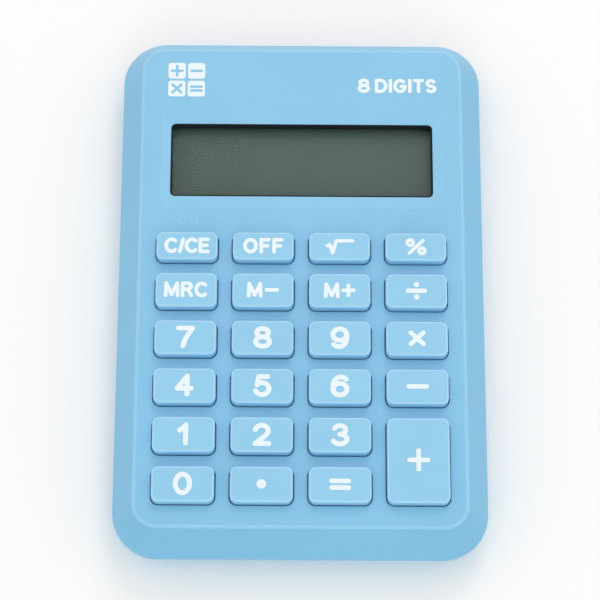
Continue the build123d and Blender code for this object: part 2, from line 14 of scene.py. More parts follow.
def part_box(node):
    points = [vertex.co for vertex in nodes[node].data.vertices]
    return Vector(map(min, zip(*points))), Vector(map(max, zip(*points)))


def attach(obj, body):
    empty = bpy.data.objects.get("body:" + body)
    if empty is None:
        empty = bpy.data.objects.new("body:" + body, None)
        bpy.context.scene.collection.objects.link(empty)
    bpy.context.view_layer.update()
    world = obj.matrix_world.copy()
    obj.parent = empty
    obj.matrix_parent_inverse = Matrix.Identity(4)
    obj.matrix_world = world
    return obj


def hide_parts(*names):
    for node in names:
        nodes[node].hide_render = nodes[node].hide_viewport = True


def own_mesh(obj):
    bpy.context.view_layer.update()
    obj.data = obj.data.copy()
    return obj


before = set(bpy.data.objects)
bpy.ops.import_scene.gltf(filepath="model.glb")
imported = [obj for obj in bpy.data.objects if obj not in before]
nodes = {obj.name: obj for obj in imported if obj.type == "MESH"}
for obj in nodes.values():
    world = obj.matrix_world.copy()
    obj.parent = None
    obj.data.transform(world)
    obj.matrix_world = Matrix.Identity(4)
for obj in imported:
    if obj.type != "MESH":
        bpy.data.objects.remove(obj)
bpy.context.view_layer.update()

MM = 0.001
CASE_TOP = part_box("front_case")[1].z
KEY_NAMES = sorted(name for name in nodes if name.startswith("key_"))

# ------------------------------------------------------------------ view and light
CAMERA_TILT = math.radians(20.0)        # away from straight down
CAMERA_TURN = math.radians(1.2)
CAMERA_ROLL = math.radians(1.47)
CAMERA_DISTANCE = 0.5094
CAMERA_AIM = Vector((-0.25 * MM, -4.08 * MM, CASE_TOP))
CAMERA_LENS = 155.2
SENSOR_WIDTH = 36.0
WORLD_COLOUR = (1.0, 0.945, 0.925, 1.0)
WORLD_STRENGTH = 0.96
CYAN = (0.35, 0.95, 1.0)
FLOOR_HALF = 3.0
FLOOR_COLOUR = (0.93, 0.93, 0.93, 1.0)


def make_camera():
    """Camera above the near end of the case, looking down and towards the display."""
    lean, turn = CAMERA_TILT, CAMERA_TURN
    forward = Vector((math.sin(lean) * math.sin(turn), math.sin(lean) * math.cos(turn),
                      -math.cos(lean)))
    level_right = Vector((math.cos(turn), -math.sin(turn), 0.0))
    level_up = level_right.cross(forward)
    right = math.cos(CAMERA_ROLL) * level_right + math.sin(CAMERA_ROLL) * level_up
    up = right.cross(forward)
    data = bpy.data.cameras.new("camera")
    data.sensor_width = SENSOR_WIDTH
    data.lens = CAMERA_LENS
    data.clip_start = 0.01
    camera = bpy.data.objects.new("camera", data)
    bpy.context.scene.collection.objects.link(camera)
    place = CAMERA_AIM - CAMERA_DISTANCE * forward
    axes = Matrix((right, up, -forward)).transposed()
    camera.matrix_world = Matrix.Translation(place) @ axes.to_4x4()
    bpy.context.scene.camera = camera


def make_area_light(name, place, size, watts, colour=(1.0, 1.0, 1.0), gloss_only=False):
    """Square soft light aimed at the middle of the case."""
    data = bpy.data.lights.new(name, "AREA")
    data.size = size
    data.energy = watts
    data.color = colour
    light = bpy.data.objects.new(name, data)
    bpy.context.scene.collection.objects.link(light)
    light.location = place
    light.rotation_euler = (-Vector(place)).to_track_quat("-Z", "Y").to_euler()
    light.visible_diffuse = not gloss_only


def make_studio():
    """Pale surroundings, two soft lights, one for gloss alone, and a pale floor."""
    world = bpy.data.worlds.new("studio")
    bpy.context.scene.world = world
    world.use_nodes = True
    background = world.node_tree.nodes["Background"]
    background.inputs["Color"].default_value = WORLD_COLOUR
    background.inputs["Strength"].default_value = WORLD_STRENGTH
    make_area_light("far_light", (0.16, 0.62, 0.66), 0.36, 1.2)
    make_area_light("near_fill", (0.0, -0.60, 0.45), 0.50, 0.6, colour=CYAN)
    make_area_light("sheen_light", (0.0, 0.30, 0.80), 0.55, 2.2, gloss_only=True)

    mesh = bpy.data.meshes.new("floor")
    corners = [(x * FLOOR_HALF, y * FLOOR_HALF, 0)
               for x, y in ((-1, -1), (1, -1), (1, 1), (-1, 1))]
    mesh.from_pydata(corners, [], [(0, 1, 2, 3)])
    floor = bpy.data.objects.new("floor", mesh)
    bpy.context.scene.collection.objects.link(floor)
    material = bpy.data.materials.new("floor_paper")
    material.use_nodes = True
    surface = material.node_tree.nodes["Principled BSDF"]
    surface.inputs["Base Color"].default_value = FLOOR_COLOUR
    surface.inputs["Roughness"].default_value = 0.9
    surface.inputs["Specular IOR Level"].default_value = 0.1
    mesh.materials.append(material)
    view = bpy.context.scene.view_settings
    view.view_transform = "Standard"
    view.look = "None"


# ------------------------------------------------------------------ materials
BLACK, WHITE = (0.0, 0.0, 0.0, 1.0), (1.0, 1.0, 1.0, 1.0)
GREY = (0.7, 0.7, 0.7, 1.0)
# Painted highlight: how much of the paler colour shows, by the upward part of the surface
# normal.
RIDGE_HIGHLIGHT_SLOPES = [(0.57, BLACK), (0.72, WHITE), (0.96, WHITE), (0.999, BLACK)]
# On the keys the side walls also get a weaker share of the painted highlight.
KEY_HIGHLIGHT_SLOPES = [(0.0, GREY), (0.55, WHITE), (0.96, WHITE), (0.999, BLACK)]


def linear(red, green, blue):
    """Linear colour of an 8-bit display colour."""
    def channel(value):
        share = value / 255.0
        return share / 12.92 if share <= 0.04045 else ((share + 0.055) / 1.055) ** 2.4
    return (channel(red), channel(green), channel(blue), 1.0)


class Shader:
    """A new material with its principled surface and short ways to add nodes."""

    def __init__(self, name, roughness=0.5, metallic=0.0, specular=0.5):
        self.material = bpy.data.materials.new(name)
        self.material.use_nodes = True
        self.tree = self.material.node_tree
        self.surface = self.tree.nodes["Principled BSDF"]
        self.set("Roughness", roughness)
        self.set("Metallic", metallic)
        self.set("Specular IOR Level", specular)

    def set(self, socket, value):
        self.surface.inputs[socket].default_value = value

    def link(self, output, target):
        self.tree.links.new(output, target)

    def node(self, kind, **values):
        made = self.tree.nodes.new(kind)
        for name, value in values.items():
            made.inputs[name].default_value = value
        return made

    def place(self, scale=(1.0, 1.0, 1.0)):
        """Object coordinates, which are the frame's metres."""
        where = self.node("ShaderNodeTexCoord")
        mapping = self.node("ShaderNodeMapping", Scale=scale)
        self.link(where.outputs["Object"], mapping.inputs["Vector"])
        return mapping.outputs["Vector"]

    def noise(self, scale, detail=2.0, stretch=(1.0, 1.0, 1.0)):
        made = self.node("ShaderNodeTexNoise", Scale=scale, Detail=detail)
        self.link(self.place(stretch), made.inputs["Vector"])
        return made.outputs["Fac"]

    def voronoi(self, scale, feature="F1"):
        made = self.node("ShaderNodeTexVoronoi", Scale=scale)
        made.feature = feature
        self.link(self.place(), made.inputs["Vector"])
        return made.outputs["Distance"]

    def ramp(self, factor, stops, interpolation="LINEAR"):
        """Colour ramp; stops are (position, colour) pairs."""
        made = self.tree.nodes.new("ShaderNodeValToRGB")
        made.color_ramp.interpolation = interpolation
        elements = made.color_ramp.elements
        while len(elements) < len(stops):
            elements.new(1.0)
        for element, (position, colour) in zip(elements, stops):
            element.position = position
            element.color = colour
        self.link(factor, made.inputs["Fac"])
        return made.outputs["Color"]

    def span(self, factor, low, high):
        """Maps a factor of 0 to 1 onto low to high."""
        made = self.node("ShaderNodeMapRange")
        made.inputs["To Min"].default_value = low
        made.inputs["To Max"].default_value = high
        self.link(factor, made.inputs["Value"])
        return made.outputs["Result"]

    def bump(self, heights, strength, distance, normal=None):
        made = self.node("ShaderNodeBump", Strength=strength, Distance=distance)
        self.link(heights, made.inputs["Height"])
        if normal is not None:
            self.link(normal, made.inputs["Normal"])
        return made.outputs["Normal"]

    def paint_highlight(self, body, painted_highlight, share, slopes):
        """Painted highlight: body colour turned towards a paler colour where the surface leans
        by these slopes.
        """
        geometry = self.node("ShaderNodeNewGeometry")
        split = self.tree.nodes.new("ShaderNodeSeparateXYZ")
        self.link(geometry.outputs["Normal"], split.inputs["Vector"])
        slope = self.ramp(split.outputs["Z"], slopes)
        weight = self.span(slope, 0.0, share)
        mix = self.tree.nodes.new("ShaderNodeMix")
        mix.data_type = "RGBA"
        self.link(weight, mix.inputs["Factor"])
        self.link(body, mix.inputs["A"])
        mix.inputs["B"].default_value = painted_highlight
        return mix.outputs["Result"]

    def colour(self, output):
        self.link(output, self.surface.inputs["Base Color"])

    def rough(self, output):
        self.link(output, self.surface.inputs["Roughness"])

    def normal(self, output):
        self.link(output, self.surface.inputs["Normal"])


def shades(colour, spread):
    """A darker and a lighter neighbour of a colour."""
    darker = tuple(channel * (1.0 - spread) for channel in colour[:3]) + (1.0,)
    lighter = tuple(min(1.0, channel * (1.0 + spread)) for channel in colour[:3]) + (1.0,)
    return darker, lighter


def moulded_plastic(name, colour, roughness=0.46, spread=0.025, grain=0.16, painted_highlight=None):
    """Matt injection-moulded plastic: spark-eroded grain, soft flow clouds, and a painted
    highlight by slope where one is given.
    """
    shader = Shader(name, specular=0.5)
    darker, lighter = shades(colour, spread)
    clouds = shader.noise(55.0, 3.0)
    body = shader.ramp(clouds, [(0.30, darker), (0.70, lighter)])
    # Where given, a paler colour is painted on by slope as a highlight on edges and walls.
    shader.colour(body if painted_highlight is None else shader.paint_highlight(body, *painted_highlight))
    grains = shader.noise(5200.0, 2.0)
    shader.rough(shader.span(grains, roughness - 0.05, roughness + 0.07))
    coarse = shader.bump(shader.noise(420.0, 2.0), 0.05, 0.00004)
    shader.normal(shader.bump(grains, grain, 0.00002, coarse))
    shader.set("Subsurface Weight", 0.06)
    shader.set("Subsurface Radius", (0.4, 0.7, 1.0))
    shader.set("Subsurface Scale", 0.0012)
    return shader.material


def printed_ink(name, colour, roughness=0.42):
    """Pad-printed ink with a slightly uneven film."""
    shader = Shader(name, specular=0.4)
    darker, lighter = shades(colour, 0.03)
    film = shader.noise(1400.0, 3.0)
    shader.colour(shader.ramp(film, [(0.25, darker), (0.65, lighter)]))
    shader.rough(shader.span(film, roughness, roughness + 0.15))
    shader.normal(shader.bump(film, 0.12, 0.00002))
    return shader.material


def display_film():
    """Grey-green polarizer over a blank liquid crystal cell."""
    shader = Shader("display_film", specular=0.15)
    drift = shader.noise(38.0, 2.0)
    base = linear(77, 98, 91)
    darker, lighter = shades(base, 0.05)
    shader.colour(shader.ramp(drift, [(0.3, darker), (0.7, lighter)]))
    speckle = shader.noise(6500.0, 1.0)
    shader.rough(shader.span(speckle, 0.32, 0.5))
    shader.normal(shader.bump(speckle, 0.1, 0.00001))
    return shader.material


def clear_acrylic(name, tint, alpha):
    """Clear hard window with faint wiping marks."""
    shader = Shader(name, specular=0.5)
    haze = shader.noise(60.0, 4.0, (1.0, 9.0, 1.0))
    darker, lighter = shades(tint, 0.04)
    shader.colour(shader.ramp(haze, [(0.3, darker), (0.7, lighter)]))
    shader.rough(shader.span(haze, 0.04, 0.12))
    shader.set("Alpha", alpha)
    shader.set("IOR", 1.49)
    return shader.material


def rubber(name, colour, roughness=0.6, clear=0.0):
    """Soft rubber with a dull, dusty skin."""
    shader = Shader(name, specular=0.3)
    darker, lighter = shades(colour, 0.06)
    mottle = shader.noise(260.0, 4.0)
    shader.colour(shader.ramp(mottle, [(0.3, darker), (0.7, lighter)]))
    shader.rough(shader.span(mottle, roughness, roughness + 0.2))
    shader.normal(shader.bump(shader.noise(2600.0, 2.0), 0.2, 0.00003))
    shader.set("Subsurface Weight", clear)
    shader.set("Subsurface Scale", 0.002)
    return shader.material


def metal(name, colour, roughness, stretch=(1.0, 1.0, 1.0)):
    """Plated metal with drawn or turned marks."""
    shader = Shader(name, metallic=1.0)
    darker, lighter = shades(colour, 0.10)
    marks = shader.noise(900.0, 4.0, stretch)
    shader.colour(shader.ramp(marks, [(0.3, darker), (0.7, lighter)]))
    shader.rough(shader.span(marks, roughness, roughness + 0.18))
    shader.normal(shader.bump(marks, 0.12, 0.00002))
    return shader.material


def board_laminate():
    """Brown laminate under green solder mask with routed copper showing through."""
    shader = Shader("board_laminate", specular=0.5)
    cells = shader.voronoi(260.0, "DISTANCE_TO_EDGE")
    mask = linear(36, 104, 62)
    copper = linear(74, 138, 78)
    shader.colour(shader.ramp(cells, [(0.04, copper), (0.09, mask)]))
    shader.rough(shader.span(shader.noise(700.0), 0.25, 0.45))
    shader.normal(shader.bump(cells, 0.25, 0.00003))
    return shader.material


def cell_jacket():
    """Printed foil jacket of the cell: dark barrel and a copper-coloured shoulder band."""
    shader = Shader("cell_jacket", metallic=0.35, specular=0.5)
    low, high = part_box("aaa_cell")
    where = shader.node("ShaderNodeTexCoord")
    split = shader.tree.nodes.new("ShaderNodeSeparateXYZ")
    shader.link(where.outputs["Object"], split.inputs["Vector"])
    along = shader.node("ShaderNodeMapRange")
    along.inputs["From Min"].default_value = low.x
    along.inputs["From Max"].default_value = high.x
    shader.link(split.outputs["X"], along.inputs["Value"])
    tin, dark, amber = linear(190, 190, 186), linear(28, 30, 34), linear(196, 120, 52)
    bands = [(0.0, tin), (0.015, dark), (0.70, amber), (0.965, tin)]
    shader.colour(shader.ramp(along.outputs["Result"], bands, "CONSTANT"))
    shader.rough(shader.span(shader.noise(300.0, 3.0), 0.22, 0.38))
    return shader.material


CASE_BLUE = linear(121, 187, 223)
KEY_BLUE = linear(130, 193, 226)
# Paler blue painted on as highlight on the case's ridges and on the keys' edges and side walls.
HIGHLIGHT_BLUE = linear(168, 217, 246)


def paint_nodes():
    """Gives every carried-over CAD node its material."""
    shades_of = {
        # The case and the keys carry a painted highlight on their edges; the keys also on their
        # side walls.
        "case": moulded_plastic("case_plastic", CASE_BLUE,
                                painted_highlight=(HIGHLIGHT_BLUE, 0.45, RIDGE_HIGHLIGHT_SLOPES)),
        "rear": moulded_plastic("rear_plastic", CASE_BLUE, roughness=0.5),
        "key": moulded_plastic("key_plastic", KEY_BLUE, roughness=0.42, grain=0.10,
                               painted_highlight=(HIGHLIGHT_BLUE, 0.85, KEY_HIGHLIGHT_SLOPES)),
        "lens": clear_acrylic("lens_acrylic", linear(60, 74, 72), 0.08),
        "film": display_film(),
        "glass": clear_acrylic("display_glass", linear(190, 205, 198), 0.25),
        "reflector": metal("reflector_film", linear(150, 160, 154), 0.35),
        # Near-black lining of the window wall: the gasket's own dark colour, which also stands
        # in for the shade deep in the window.
        "gasket": rubber("gasket_foam", linear(22, 28, 34), 0.85),
        "holder": moulded_plastic("holder_plastic", linear(232, 232, 226), 0.5),
        "zebra": rubber("zebra_rubber", linear(58, 58, 62)),
        "silicone": rubber("silicone", linear(214, 220, 224), 0.45, 0.3),
        "carbon": rubber("carbon_ink", linear(26, 26, 28), 0.7),
        "board": board_laminate(),
        "epoxy": rubber("potting_epoxy", linear(18, 18, 20), 0.25),
        "sleeve": moulded_plastic("capacitor_sleeve", linear(34, 42, 92), 0.3),
        "chip": moulded_plastic("chip_body", linear(34, 34, 36), 0.4),
        "jacket": cell_jacket(),
        "nickel": metal("nickel_plate", linear(206, 202, 192), 0.18, (1.0, 6.0, 1.0)),
        "red": rubber("red_insulation", linear(190, 30, 26), 0.4),
        "black": rubber("black_insulation", linear(22, 22, 24), 0.4),
        "zinc": metal("zinc_plate", linear(178, 178, 172), 0.30),
    }
    users = {
        "case": ["front_case"],
        "rear": ["rear_case", "battery_door"],
        "key": KEY_NAMES,
        "lens": ["display_lens"],
        "film": ["front_polarizer"],
        "glass": ["front_glass", "rear_glass"],
        "reflector": ["rear_reflector"],
        "gasket": ["lens_gasket"],
        "holder": ["lcd_holder"],
        "zebra": ["zebra_strip"],
        "silicone": ["dome_sheet"],
        "carbon": ["carbon_pills", "contact_pads"],
        "board": ["circuit_board"],
        "epoxy": ["glob_top_chip"],
        "sleeve": ["capacitor"],
        "chip": ["resistors"],
        "jacket": ["aaa_cell"],
        "nickel": ["positive_contact", "negative_contact", "negative_spring"],
        "red": ["positive_lead"],
        "black": ["negative_lead"],
        "zinc": ["case_screws", "board_screws"],
    }
    for shade, members in users.items():
        for name in members:
            mesh = nodes[name].data
            mesh.materials.clear()
            mesh.materials.append(shades_of[shade])
    return shades_of


# ------------------------------------------------------------------ legends
FAR_AWAY = 1e9              # stands for no stroke or tile yet
NO_LENGTH = 1e-12           # keeps a stroke of no length from dividing by zero
MERGE_DISTANCE = 1e-7       # metres


def arc(centre_x, centre_y, radius_x, radius_y, start, end):
    """Points on part of an ellipse, with angles in degrees."""
    count = max(6, int(abs(end - start) / 9))
    angles = [math.radians(start + (end - start) * i / count) for i in range(count + 1)]
    return [(centre_x + radius_x * math.cos(a), centre_y + radius_y * math.sin(a))
            for a in angles]


SIX = [arc(0.37, 0.32, 0.37, 0.32, 0, 360), arc(0.42, 0.50, 0.42, 0.50, 48, 205)]

# A glyph is (width, strokes): the lines down the middle of the print, for a height of 1.
GLYPHS = {
    "0": (0.74, [arc(0.37, 0.5, 0.37, 0.5, 0, 360)]),
    "1": (0.74, [[(0.17, 0.71), (0.34, 0.81), (0.49, 1.0), (0.49, 0.0)]]),
    "2": (0.74, [arc(0.37, 0.70, 0.345, 0.30, 168, -32) + [(0.36, 0.26), (0.02, 0.0),
                                                          (0.74, 0.0)]]),
    "3": (0.74, [arc(0.36, 0.765, 0.30, 0.235, 158, -90),
                 arc(0.36, 0.265, 0.37, 0.265, 90, -158)]),
    "4": (0.74, [[(0.52, 0.0), (0.52, 1.0), (0.0, 0.32), (0.74, 0.32)]]),
    "5": (0.74, [[(0.66, 1.0), (0.19, 1.0), (0.10, 0.54)]
                 + arc(0.36, 0.33, 0.37, 0.33, 132, -158)]),
    "6": (0.74, SIX),
    "7": (0.74, [[(0.0, 1.0), (0.76, 1.0), (0.50, 0.62), (0.34, 0.30), (0.25, 0.0)]]),
    "8": (0.74, [arc(0.37, 0.765, 0.31, 0.235, 0, 360), arc(0.37, 0.265, 0.37, 0.265, 0, 360)]),
    "9": (0.74, [[(0.74 - x, 1.0 - y) for x, y in stroke] for stroke in SIX]),
    "C": (0.80, [arc(0.42, 0.5, 0.42, 0.5, 48, 312)]),
    "D": (0.76, [[(0.0, 0.0), (0.0, 1.0), (0.30, 1.0)] + arc(0.30, 0.5, 0.46, 0.5, 90, -90)
                 + [(0.0, 0.0)]]),
    "E": (0.58, [[(0.58, 1.0), (0.0, 1.0), (0.0, 0.0), (0.58, 0.0)], [(0.0, 0.5), (0.50, 0.5)]]),
    "F": (0.58, [[(0.58, 1.0), (0.0, 1.0), (0.0, 0.0)], [(0.0, 0.5), (0.48, 0.5)]]),
    "G": (0.84, [arc(0.42, 0.5, 0.42, 0.5, 48, 352) + [(0.84, 0.46), (0.52, 0.46)]]),
    "I": (0.0, [[(0.0, 0.0), (0.0, 1.0)]]),
    "M": (0.92, [[(0.0, 0.0), (0.04, 1.0), (0.46, 0.08), (0.88, 1.0), (0.92, 0.0)]]),
    "N": (0.76, [[(0.0, 0.0), (0.0, 1.0), (0.76, 0.0), (0.76, 1.0)]]),
    "O": (0.84, [arc(0.42, 0.5, 0.42, 0.5, 0, 360)]),
    "R": (0.66, [[(0.0, 0.0), (0.0, 1.0), (0.38, 1.0)] + arc(0.38, 0.76, 0.26, 0.24, 90, -90)
                 + [(0.0, 0.52)], [(0.40, 0.50), (0.66, 0.0)]]),
    "S": (0.62, [arc(0.31, 0.75, 0.30, 0.25, 35, 270), arc(0.31, 0.25, 0.31, 0.25, 90, -145)]),
    "T": (0.66, [[(0.0, 1.0), (0.66, 1.0)], [(0.33, 1.0), (0.33, 0.0)]]),
    "/": (0.24, [[(0.0, 0.0), (0.24, 1.0)]]),
    "+": (1.0, [[(0.0, 0.5), (1.0, 0.5)], [(0.5, 0.0), (0.5, 1.0)]]),
    "-": (1.0, [[(0.0, 0.5), (1.0, 0.5)]]),
    "x": (1.0, [[(0.0, 0.0), (1.0, 1.0)], [(0.0, 1.0), (1.0, 0.0)]]),
    "=": (1.0, [[(0.0, 0.30), (1.0, 0.30)], [(0.0, 0.70), (1.0, 0.70)]]),
}


SPACE_SHARE = 0.30          # of the letters' height


def word(text, height, gap, raise_small=0.82):
    """Strokes of a word centred on zero, for letters of one middle-line height."""
    strokes = []
    pen = 0.0
    for letter in text:
        if letter == " ":
            pen += height * SPACE_SHARE
            continue
        width, lines = GLYPHS[letter]
        size = height * raise_small if letter in "+-" else height
        lift = (height - size) / 2
        for line in lines:
            strokes.append([(pen + x * size, lift + y * size) for x, y in line])
        pen += width * size + gap
    middle = (pen - gap) / 2
    return [[(x - middle, y - height / 2) for x, y in line] for line in strokes]


def symbol(name):
    """Strokes in millimetres of the signs that are drawn for their own key."""
    if name == "root":
        return [[(-2.42, 0.06), (-1.95, 0.34), (-1.42, -1.42), (-0.63, 1.15), (2.55, 1.15)]]
    if name == "percent":
        rings = [arc(x, y, 0.58, 0.58, 0, 360) for x, y in ((-1.12, 0.82), (1.16, -0.86))]
        return rings + [[(-1.28, -1.34), (1.40, 1.32)]]
    if name == "divide":
        return [[(-1.62, 0.0), (1.62, 0.0)]]
    if name == "times":
        return [[(-1.22, -1.15), (1.22, 1.15)], [(-1.22, 1.15), (1.22, -1.15)]]
    if name == "minus":
        return [[(-1.75, 0.0), (1.75, 0.0)]]
    if name == "plus":
        return [[(-1.75, 0.0), (1.75, 0.0)], [(0.0, -1.85), (0.0, 1.85)]]
    return [[(-1.62, y), (1.62, y)] for y in (-0.66, 0.66)]


def stroke_field(xs, ys, strokes, half_width):
    """Distance from every grid point to the strokes, less half the print's width."""
    grid_x, grid_y = np.meshgrid(xs, ys)
    nearest = np.full(grid_x.shape, FAR_AWAY)
    for line in strokes:
        for (x0, y0), (x1, y1) in zip(line, line[1:]):
            run_x, run_y = x1 - x0, y1 - y0
            squared = run_x * run_x + run_y * run_y + NO_LENGTH
            share = ((grid_x - x0) * run_x + (grid_y - y0) * run_y) / squared
            share = np.clip(share, 0.0, 1.0)
            away = np.hypot(grid_x - x0 - share * run_x, grid_y - y0 - share * run_y)
            nearest = np.minimum(nearest, away)
    return nearest - half_width


def dot_field(xs, ys, dots):
    """Distance to the edge of the nearest round dot; dots are (x, y, radius)."""
    grid_x, grid_y = np.meshgrid(xs, ys)
    fields = [np.hypot(grid_x - x, grid_y - y) - radius for x, y, radius in dots]
    return np.minimum.reduce(fields)


def tile_field(xs, ys, x, y, half, radius):
    """Distance to the edge of a square tile with rounded corners."""
    grid_x, grid_y = np.meshgrid(xs, ys)
    over_x = np.abs(grid_x - x) - half + radius
    over_y = np.abs(grid_y - y) - half + radius
    outside = np.hypot(np.maximum(over_x, 0.0), np.maximum(over_y, 0.0))
    inside = np.minimum(np.maximum(over_x, over_y), 0.0)
    return outside + inside - radius


def zero_loops(field, xs, ys):
    """Closed outlines where a field changes sign, by walking the grid's cells."""
    inside = field < 0.0
    crossing = {}

    def cut(key):
        (i, j), (k, m) = key
        share = field[j, i] / (field[j, i] - field[m, k])
        return (xs[i] + share * (xs[k] - xs[i]), ys[j] + share * (ys[m] - ys[j]))

    for j in range(len(ys) - 1):
        for i in range(len(xs) - 1):
            ring = [(i, j), (i + 1, j), (i + 1, j + 1), (i, j + 1)]
            states = [inside[b, a] for a, b in ring]
            if all(states) or not any(states):
                continue
            leaves, enters = [], []
            for side in range(4):
                a, b = ring[side], ring[(side + 1) % 4]
                key = (min(a, b), max(a, b))
                if states[side] and not states[(side + 1) % 4]:
                    leaves.append((side, key))
                if not states[side] and states[(side + 1) % 4]:
                    enters.append((side, key))
            for side, key in leaves:
                partner = min(enters, key=lambda item: (item[0] - side) % 4)
                crossing[key] = partner[1]
    loops = []
    while crossing:
        first, following = crossing.popitem()
        loop = [cut(first)]
        while following != first:
            loop.append(cut(following))
            following = crossing.pop(following)
        loops.append(loop)
    return loops


PRINT_GRID = 0.07           # millimetres between the samples of an outline
INK_RELIEF = 0.03 * MM      # how far the ink stands up
INK_SINK = 0.02 * MM        # how far its underside is let into the plastic


def printed_piece(name, field_of, extent, place, material, relief=INK_RELIEF, sink=INK_SINK,
                  grid=PRINT_GRID):
    """Flat solid with the outline of a field, drawn in millimetres about place."""
    half_x, half_y = extent
    xs = np.arange(-half_x, half_x + grid, grid)
    ys = np.arange(-half_y, half_y + grid, grid)
    curve = bpy.data.curves.new(name, "CURVE")
    curve.dimensions = "2D"
    curve.fill_mode = "BOTH"
    curve.extrude = (relief + sink) / 2
    for loop in zero_loops(field_of(xs, ys), xs, ys):
        spline = curve.splines.new("POLY")
        spline.points.add(len(loop) - 1)
        for point, (x, y) in zip(spline.points, loop):
            point.co = (x * MM, y * MM, 0.0, 1.0)
        spline.use_cyclic_u = True
    drawn = bpy.data.objects.new(name + "_outline", curve)
    bpy.context.scene.collection.objects.link(drawn)
    bpy.context.view_layer.update()
    mesh = bpy.data.meshes.new_from_object(drawn)
    bpy.data.objects.remove(drawn)
    bpy.data.curves.remove(curve)
    mesh.name = name
    merge = bmesh.new()
    merge.from_mesh(mesh)
    bmesh.ops.remove_doubles(merge, verts=merge.verts, dist=MERGE_DISTANCE)
    bmesh.ops.recalc_face_normals(merge, faces=merge.faces)
    merge.to_mesh(mesh)
    merge.free()
    lift = (relief - sink) / 2
    mesh.transform(Matrix.Translation(Vector(place) + Vector((0.0, 0.0, lift))))
    mesh.materials.clear()
    mesh.materials.append(material)
    piece = bpy.data.objects.new(name, mesh)
    bpy.context.scene.collection.objects.link(piece)
    return piece


def stroke_legend(strokes, weight):
    """Field and half extent of a legend made of strokes of one width."""
    reach_x = max(abs(x) for line in strokes for x, _ in line) + weight
    reach_y = max(abs(y) for line in strokes for _, y in line) + weight

    def field(xs, ys):
        return stroke_field(xs, ys, strokes, weight / 2)
    return field, (reach_x, reach_y)


DIGIT_HEIGHT, DIGIT_WEIGHT = 3.66, 0.98
LETTER_HEIGHT, LETTER_WEIGHT = 2.56, 0.75
SIGN_WEIGHT, FINE_WEIGHT = 0.92, 0.72
POINT_RADIUS = 0.92
DIVIDE_DOTS = [(0.0, -1.30, 0.55), (0.0, 1.30, 0.55)]
KEY_WORDS = {
    "key_clear": ("C/CE", 0.68),
    "key_off": ("OFF", 1.05),
    "key_memory_recall": ("MRC", 0.98),
    "key_memory_minus": ("M-", 1.15),
    "key_memory_plus": ("M+", 1.05),
}


def key_legend(name):
    """Field and extent of the legend on one key."""
    tail = name[len("key_"):]
    if tail.isdigit():
        return stroke_legend(word(tail, DIGIT_HEIGHT, 0.0), DIGIT_WEIGHT)
    if name in KEY_WORDS:
        text, gap = KEY_WORDS[name]
        return stroke_legend(word(text, LETTER_HEIGHT, gap), LETTER_WEIGHT)
    if tail == "point":
        return (lambda xs, ys: dot_field(xs, ys, [(0.0, 0.0, POINT_RADIUS)])), (1.3, 1.3)
    weight = FINE_WEIGHT if tail in ("root", "percent") else SIGN_WEIGHT
    field, extent = stroke_legend(symbol(tail), weight)
    if tail == "divide":
        return (lambda xs, ys: np.minimum(field(xs, ys),
                                          dot_field(xs, ys, DIVIDE_DOTS))), (2.4, 2.2)
    return field, extent


def print_keys(ink):
    """One white legend on the top of each keycap."""
    for name in KEY_NAMES:
        low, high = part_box(name)
        field, extent = key_legend(name)
        place = ((low.x + high.x) / 2, (low.y + high.y) / 2, high.z)
        piece = printed_piece("legend_" + name[len("key_"):], field, extent, place, ink)
        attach(piece, name)


def badge_field(xs, ys):
    """Four rounded tiles with the signs plus, minus, times and equals left open."""
    half, step, tile_round, open_width = 1.75, 1.98, 0.55, 0.27
    field = np.full((len(ys), len(xs)), FAR_AWAY)
    for x, y, letter in ((-step, step, "+"), (step, step, "-"),
                         (-step, -step, "x"), (step, -step, "=")):
        tile = tile_field(xs, ys, x, y, half, tile_round)
        size = 1.75 if letter == "x" else 2.1
        sign = [[(x + (a - 0.5) * size, y + (b - 0.5) * size) for a, b in line]
                for line in GLYPHS[letter][1]]
        field = np.minimum(field, np.maximum(tile, -stroke_field(xs, ys, sign, open_width)))
    return field


# Places in plan and sizes of the case's print, in millimetres.
BADGE_X, BADGE_Y = -23.4, 43.4
BADGE_REACH = 4.2
COUNT_X, COUNT_Y = 19.3, 42.3
COUNT_HEIGHT, COUNT_WEIGHT = 2.45, 0.72
ON_HEIGHT, ON_WEIGHT = 1.75, 0.50
ON_RISE = 2.6               # over the far side of the clear key
CASE_LETTER_GAP = 0.95


def print_case(ink, faint_ink):
    """Generic badge, the digit count across from it, and the faint word above the clear key."""
    badge_place = (BADGE_X * MM, BADGE_Y * MM, CASE_TOP)
    badge = printed_piece("badge", badge_field, (BADGE_REACH, BADGE_REACH), badge_place, ink)
    field, extent = stroke_legend(word("8 DIGITS", COUNT_HEIGHT, CASE_LETTER_GAP), COUNT_WEIGHT)
    count_place = (COUNT_X * MM, COUNT_Y * MM, CASE_TOP)
    count = printed_piece("digit_count", field, extent, count_place, ink)
    field, extent = stroke_legend(word("ON", ON_HEIGHT, CASE_LETTER_GAP), ON_WEIGHT)
    clear_low, clear_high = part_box("key_clear")
    on_place = ((clear_low.x + clear_high.x) / 2, clear_high.y + ON_RISE * MM, CASE_TOP)
    on_word = printed_piece("on_mark", field, extent, on_place, faint_ink)
    for piece in (badge, count, on_word):
        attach(piece, "root")


